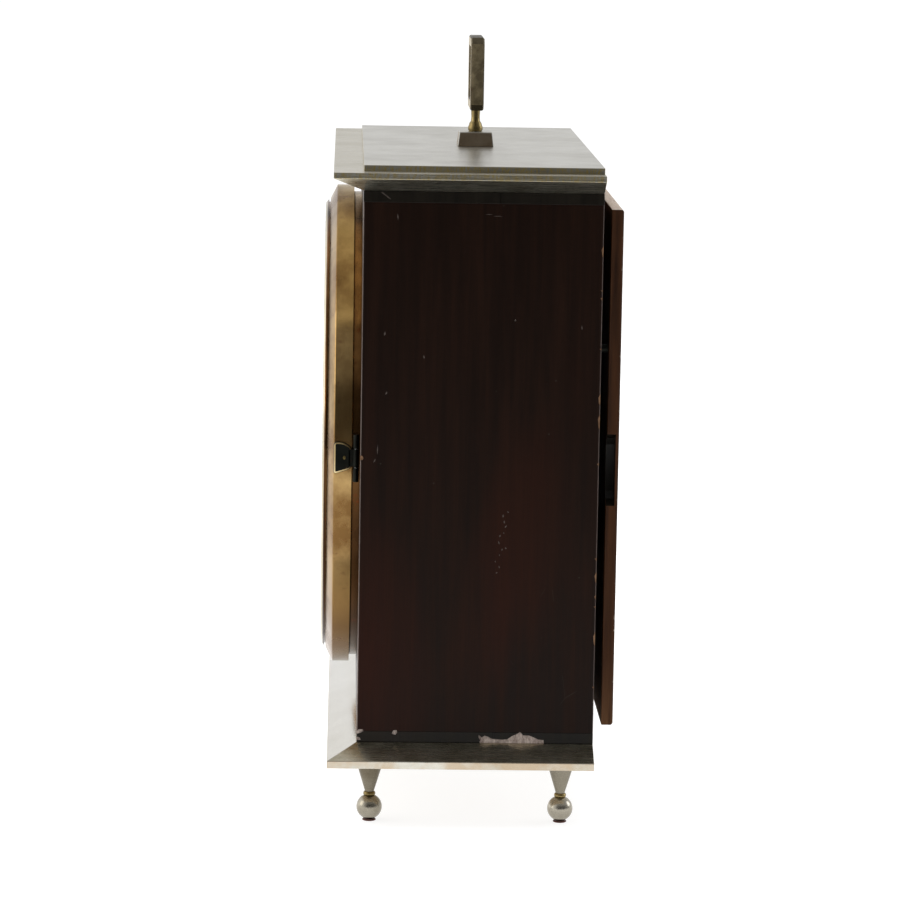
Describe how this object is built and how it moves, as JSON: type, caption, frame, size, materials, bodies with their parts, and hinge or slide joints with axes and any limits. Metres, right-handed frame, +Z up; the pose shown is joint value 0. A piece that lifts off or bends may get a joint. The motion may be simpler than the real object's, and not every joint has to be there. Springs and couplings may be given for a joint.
{
  "type": "mantel clock",
  "caption": "Spring-driven mantel clock with an opening round glazed bezel, veneered box case, metal plates, ball feet, carrying loop and a hinged rear door.",
  "frame": {"origin": "centre of the overall bounding box on the floor plane the feet stand on", "axes": "+Z up, -Y out of the dial, +X to the right of someone facing the dial"},
  "size_m": [0.237, 0.1054, 0.275],
  "materials": {
    "mahogany": "satin lacquered mahogany veneer",
    "ebonised_wood": "satin ebonised banding",
    "door_wood": "worn stained board",
    "nickel_plate": "brushed, tarnished nickel plate",
    "aged_brass": "aged lacquered brass",
    "brass": "polished brass",
    "blued_steel": "blued steel",
    "steel": "bright steel",
    "dial_enamel": "cream enamel",
    "glass": "clear domed glass",
    "felt": "felt"
  },
  "bodies": {
    "case": {"left_side_panel": "mahogany", "right_side_panel": "mahogany", "top_board": "mahogany", "bottom_board": "mahogany", "front_panel": "mahogany", "upper_banding": "ebonised_wood", "lower_banding": "ebonised_wood", "base_plate": "nickel_plate", "top_plate": "nickel_plate", "top_slab": "nickel_plate", "foot_shanks": "nickel_plate", "foot_collars": "brass", "foot_balls": "nickel_plate", "foot_pads": "felt", "handle_block": "nickel_plate", "handle_stem": "aged_brass", "handle_loop": "aged_brass", "handle_nut": "steel", "bezel_mount_ring": "aged_brass", "mount_ring_screws": "brass", "dial": "dial_enamel", "movement_front_plate": "brass", "movement_back_plate": "brass", "plate_pillars": "brass", "mounting_straps": "steel", "strap_screws": "steel", "back_cock": "brass", "suspension_strip": "steel", "rear_hinge_case_leaves": "brass", "rear_hinge_pins": "steel", "door_catch": "brass", "bezel_hinge_pin": "steel"},
    "door": {"rear_door": "door_wood", "rear_hinge_door_leaves": "brass", "door_strike": "brass"},
    "bezel": {"bezel_ring": "aged_brass", "bezel_glass": "glass", "glass_retaining_ring": "aged_brass", "bezel_hinge_leaf": "aged_brass", "bezel_thumb_tab": "aged_brass"},
    "hour_work": {"hour_hand": "blued_steel", "hour_wheel": "brass"},
    "minute_work": {"minute_hand": "blued_steel", "cannon_pinion": "steel", "hand_nut": "brass"},
    "minute_wheel_body": {"minute_wheel": "brass"},
    "centre": {"centre_wheel": "brass"},
    "intermediate": {"intermediate_wheel": "brass"},
    "third": {"third_wheel": "brass"},
    "escape": {"escape_wheel": "brass"},
    "barrel": {"spring_barrel": "brass", "barrel_cover": "brass", "mainspring": "blued_steel"},
    "barrel_arbor_body": {"barrel_arbor": "steel", "ratchet_wheel": "steel"},
    "click_body": {"click": "steel"},
    "anchor": {"pallet_anchor": "steel"},
    "pendulum": {"pendulum_rod": "steel", "pendulum_bob": "brass", "rating_nut": "brass"}
  },
  "joints": [
    {"name": "bezel_hinge", "type": "hinge", "parent": "case", "child": "bezel", "pos_m": [0.0912, -0.03975, 0.1287], "axis": [0, 0, 1], "range_deg": [0, 95]},
    {"name": "rear_door_hinge", "type": "hinge", "parent": "case", "child": "door", "pos_m": [-0.1065, 0.04715, 0.128], "axis": [0, 0, 1], "range_deg": [0, 105]},
    {"name": "minute_hand_turn", "type": "hinge", "parent": "case", "child": "minute_work", "pos_m": [0, -0.04545, 0.1287], "axis": [0, -1, 0], "continuous": true},
    {"name": "hour_hand_turn", "type": "hinge", "parent": "case", "child": "hour_work", "pos_m": [0, -0.04345, 0.1287], "axis": [0, -1, 0], "continuous": true},
    {"name": "minute_wheel_turn", "type": "hinge", "parent": "case", "child": "minute_wheel_body", "pos_m": [-0.01039, -0.03325, 0.1347], "axis": [0, -1, 0], "continuous": true},
    {"name": "third_wheel_turn", "type": "hinge", "parent": "case", "child": "third", "pos_m": [0.0104, -0.01825, 0.1467], "axis": [0, -1, 0], "continuous": true},
    {"name": "centre_wheel_turn", "type": "hinge", "parent": "case", "child": "centre", "pos_m": [0, -0.00825, 0.1287], "axis": [0, -1, 0], "continuous": true},
    {"name": "intermediate_wheel_turn", "type": "hinge", "parent": "case", "child": "intermediate", "pos_m": [-0.01636, -0.00825, 0.11553], "axis": [0, -1, 0], "continuous": true},
    {"name": "barrel_turn", "type": "hinge", "parent": "case", "child": "barrel", "pos_m": [0, -0.01825, 0.0911], "axis": [0, -1, 0], "continuous": true},
    {"name": "escape_wheel_turn", "type": "hinge", "parent": "case", "child": "escape", "pos_m": [0, -0.02375, 0.1625], "axis": [0, -1, 0], "continuous": true},
    {"name": "winding_turn", "type": "hinge", "parent": "case", "child": "barrel_arbor_body", "pos_m": [0, -0.03825, 0.0911], "axis": [0, -1, 0], "continuous": true},
    {"name": "click_pivot", "type": "hinge", "parent": "case", "child": "click_body", "pos_m": [0.0084, -0.00125, 0.10075], "axis": [0, -1, 0], "range_deg": [-18, 0]},
    {"name": "pendulum_swing", "type": "hinge", "parent": "case", "child": "pendulum", "pos_m": [0, 0.00475, 0.1802], "axis": [0, -1, 0], "range_deg": [-3.5, 3.5]},
    {"name": "anchor_swing", "type": "hinge", "parent": "case", "child": "anchor", "pos_m": [0, -0.00225, 0.1802], "axis": [0, -1, 0], "range_deg": [-3.5, 3.5]}
  ],
  "couplings": [
    {"joint": "minute_wheel_turn", "follows": "minute_hand_turn", "ratio": -0.33333},
    {"joint": "hour_hand_turn", "follows": "minute_hand_turn", "ratio": 0.083333},
    {"joint": "centre_wheel_turn", "follows": "third_wheel_turn", "ratio": -0.083333},
    {"joint": "intermediate_wheel_turn", "follows": "third_wheel_turn", "ratio": 0.013889},
    {"joint": "barrel_turn", "follows": "third_wheel_turn", "ratio": -0.0023148},
    {"joint": "escape_wheel_turn", "follows": "third_wheel_turn", "ratio": -12.5},
    {"joint": "anchor_swing", "follows": "pendulum_swing", "ratio": 1}
  ]
}
